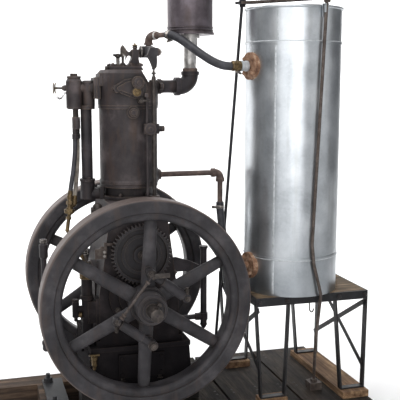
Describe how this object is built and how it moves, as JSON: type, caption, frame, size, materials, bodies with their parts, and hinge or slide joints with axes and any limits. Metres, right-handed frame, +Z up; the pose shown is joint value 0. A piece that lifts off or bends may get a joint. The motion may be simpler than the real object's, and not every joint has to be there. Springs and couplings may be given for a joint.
{
  "type": "vertical stationary engine with cooling tank",
  "caption": "Upright single-cylinder stationary petrol engine with two spoked flywheels, exhaust can, hoses and a tall open cooling tank on a stand, all on a plank bed.",
  "frame": {"origin": "underside of the bed's middle tie, straight below the middle of the crankshaft", "axes": "+Y along the crankshaft, away from the governor wheel; +X towards the cooling tank; +Z up"},
  "size_m": [1.4, 0.914, 1.811],
  "materials": {
    "aged_timber": "weathered",
    "deck_timber": "weathered grey-brown",
    "bearer_timber": "oily",
    "packing_timber": "raw reddish board",
    "oily_cast_iron": "oily brown-black",
    "black_iron_pipe": "dull black",
    "aluminium_paint": "aluminium paint",
    "sooty_sheet": "sooty brown",
    "rusty_pipe": "light rust",
    "black_hose": "matt",
    "grey_hose": "woven cover, grey",
    "grey_painted_steel": "grey paint",
    "brass": "tarnished",
    "worn_steel": "worn, brown oxide",
    "rusty_flange": "orange rust",
    "galvanised_sheet": "galvanised, spangled",
    "plywood": "raw plywood",
    "black_painted_steel": "chipped black paint",
    "rusty_rod": "rusted",
    "flywheel_iron": "dark grey, worn tread"
  },
  "bodies": {
    "engine": {"bed_sills": "aged_timber", "deck_planks": "deck_timber", "engine_bearers": "bearer_timber", "stand_packing": "packing_timber", "sub_base": "oily_cast_iron", "crankcase": "oily_cast_iron", "bearing_plates": "oily_cast_iron", "cylinder": "oily_cast_iron", "cylinder_head": "oily_cast_iron", "head_cover": "oily_cast_iron", "rocker_stand": "oily_cast_iron", "rod_guide": "oily_cast_iron", "intake_mixer": "oily_cast_iron", "fuel_pump": "oily_cast_iron", "air_pipe": "black_iron_pipe", "air_elbow": "black_iron_pipe", "exhaust_pipe": "black_iron_pipe", "exhaust_elbow": "black_iron_pipe", "filler_pipe": "black_iron_pipe", "breather_pipe": "black_iron_pipe", "exhaust_riser": "aluminium_paint", "muffler_bottom": "sooty_sheet", "muffler_shell": "sooty_sheet", "muffler_top": "sooty_sheet", "water_outlet": "rusty_pipe", "water_pipe": "rusty_pipe", "upper_hose": "black_hose", "lower_hose": "black_hose", "fuel_hose": "black_hose", "return_hose": "grey_hose", "fuel_pipe": "brass", "drain_cock": "brass", "priming_cup": "worn_steel", "mixer_needle": "worn_steel", "tank_flanges": "rusty_flange", "tank_bottom": "galvanised_sheet", "tank_bottom_course": "galvanised_sheet", "tank_middle_course": "galvanised_sheet", "tank_top_course": "galvanised_sheet", "tank_shelf": "plywood", "bed_strap": "grey_painted_steel", "stand_frame": "black_painted_steel", "stand_legs": "black_painted_steel", "stand_braces": "black_painted_steel", "front_tie_rod": "rusty_rod", "rear_tie_rod": "rusty_rod", "tie_bar": "rusty_rod", "tie_blocks": "rusty_rod"},
    "crank": {"crankshaft": "worn_steel", "near_flywheel": "flywheel_iron", "far_flywheel": "flywheel_iron", "governor": "flywheel_iron", "crank_pinion": "flywheel_iron"},
    "cam": {"cam_gear": "flywheel_iron"},
    "lifter": {"push_rod": "worn_steel"},
    "rocker": {"rocker_arm": "flywheel_iron"}
  },
  "joints": [
    {"name": "crank_spin", "type": "hinge", "parent": "engine", "child": "crank", "pos_m": [0, 0, 0.54], "axis": [0, 1, 0], "continuous": true},
    {"name": "cam_spin", "type": "hinge", "parent": "engine", "child": "cam", "pos_m": [0, -0.211, 0.702], "axis": [0, 1, 0], "continuous": true},
    {"name": "lifter_slide", "type": "slide", "parent": "engine", "child": "lifter", "axis": [0, 0, 1], "range_m": [0, 0.008]},
    {"name": "rocker_tilt", "type": "hinge", "parent": "engine", "child": "rocker", "pos_m": [0, 0, 1.436], "axis": [-1, 0, 0], "range_deg": [0, 3.5]}
  ],
  "couplings": [
    {"joint": "cam_spin", "follows": "crank_spin", "ratio": -0.5},
    {"joint": "rocker_tilt", "follows": "lifter_slide", "rad_per_m": 7.5758}
  ]
}
